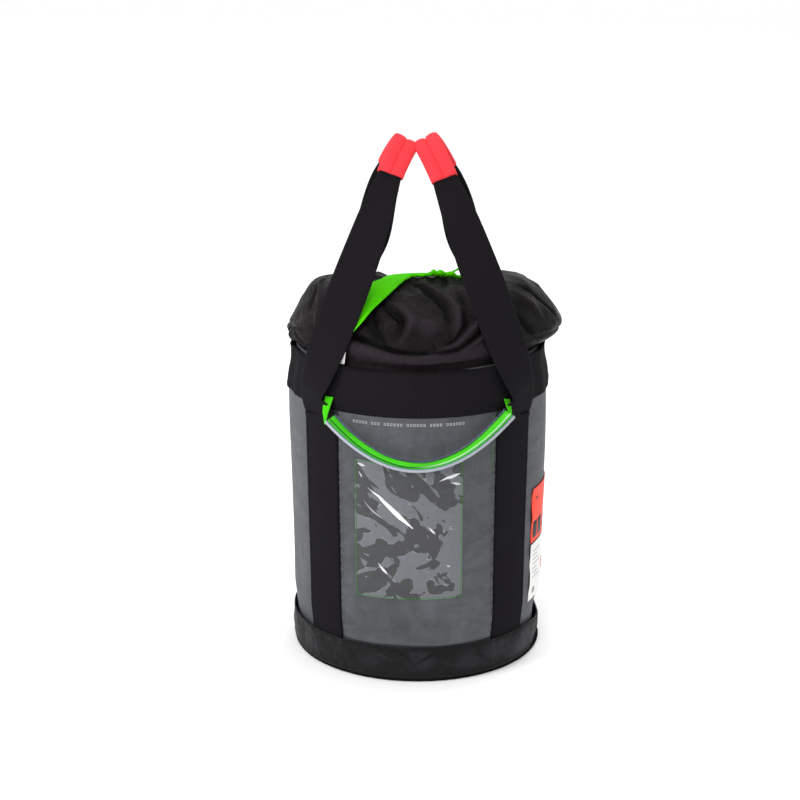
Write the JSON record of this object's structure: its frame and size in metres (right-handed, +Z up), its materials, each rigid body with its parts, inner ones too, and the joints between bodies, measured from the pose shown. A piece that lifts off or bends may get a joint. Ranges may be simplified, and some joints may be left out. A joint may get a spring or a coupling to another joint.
{
  "type": "rope storage bag",
  "caption": "Round soft rope bag with a gathered hood, webbing carry loops with sleeve grips and a clear hose gear loop.",
  "frame": {"origin": "centre of the underside of the base disc, on the surface that the bag stands on", "axes": "+Z up along the bag's axis, -Y towards the front with the window pocket and the gear loop, +X to the right of someone facing the front"},
  "size_m": [0.3757, 0.3931, 0.7155],
  "materials": {
    "base_fabric": "matte",
    "tarpaulin": "satin",
    "board": "matte",
    "piping": "matte",
    "webbing": "matte",
    "window_film": "gloss",
    "orange_label": "satin",
    "white_label": "satin",
    "nylon": "satin",
    "neon_fabric": "satin",
    "neon_cord": "satin",
    "neon_webbing": "satin",
    "black_plastic": "satin",
    "spring_steel": "satin",
    "clear_hose": "gloss",
    "coral_sleeve": "satin"
  },
  "bodies": {
    "bag": {"base_disc": "base_fabric", "base_inner_panel": "tarpaulin", "base_stiffener": "board", "base_piping": "piping", "base_band": "base_fabric", "body_wall": "tarpaulin", "strap_front_left": "webbing", "strap_front_right": "webbing", "strap_back_right": "webbing", "strap_back_left": "webbing", "front_panel": "tarpaulin", "pocket_window": "window_film", "side_label_upper": "orange_label", "side_label_lower": "white_label", "rim_band": "webbing", "rim_hoop": "board", "hood": "nylon", "hood_collar_flap": "neon_fabric", "care_label": "white_label", "hood_hem": "neon_fabric", "drawcord": "neon_cord", "drawcord_knot": "neon_cord", "loop_anchor_left": "neon_webbing", "loop_anchor_right": "neon_webbing"},
    "left_handle": {"left_handle_webbing": "webbing", "left_handle_grip": "coral_sleeve"},
    "right_handle": {"right_handle_webbing": "webbing", "right_handle_grip": "coral_sleeve"},
    "gear_loop": {"gear_loop_hose": "clear_hose", "gear_loop_webbing": "neon_webbing"},
    "cord_lock": {"cord_lock_body": "black_plastic", "cord_lock_spring": "spring_steel"},
    "lock_button": {"cord_lock_button": "black_plastic"}
  },
  "joints": [
    {"name": "left_handle_swing", "type": "hinge", "parent": "bag", "child": "left_handle", "pos_m": [-0.15, 0, 0.372], "axis": [0, -1, 0], "range_deg": [0, 140]},
    {"name": "right_handle_swing", "type": "hinge", "parent": "bag", "child": "right_handle", "pos_m": [0.15, 0, 0.372], "axis": [0, 1, 0], "range_deg": [0, 140]},
    {"name": "gear_loop_lift", "type": "hinge", "parent": "bag", "child": "gear_loop", "pos_m": [0, -0.15, 0.388], "axis": [-1, 0, 0], "range_deg": [0, 100]},
    {"name": "cord_lock_slide", "type": "slide", "parent": "bag", "child": "cord_lock", "axis": [0.7071, 0.7071, 0], "range_m": [0, 0.01]},
    {"name": "lock_button_press", "type": "slide", "parent": "cord_lock", "child": "lock_button", "axis": [0, 0, -1], "range_m": [0, 0.003], "stiffness_N_per_m": 300, "springref_m": -0.004, "deforming": ["cord_lock_spring"]}
  ]
}
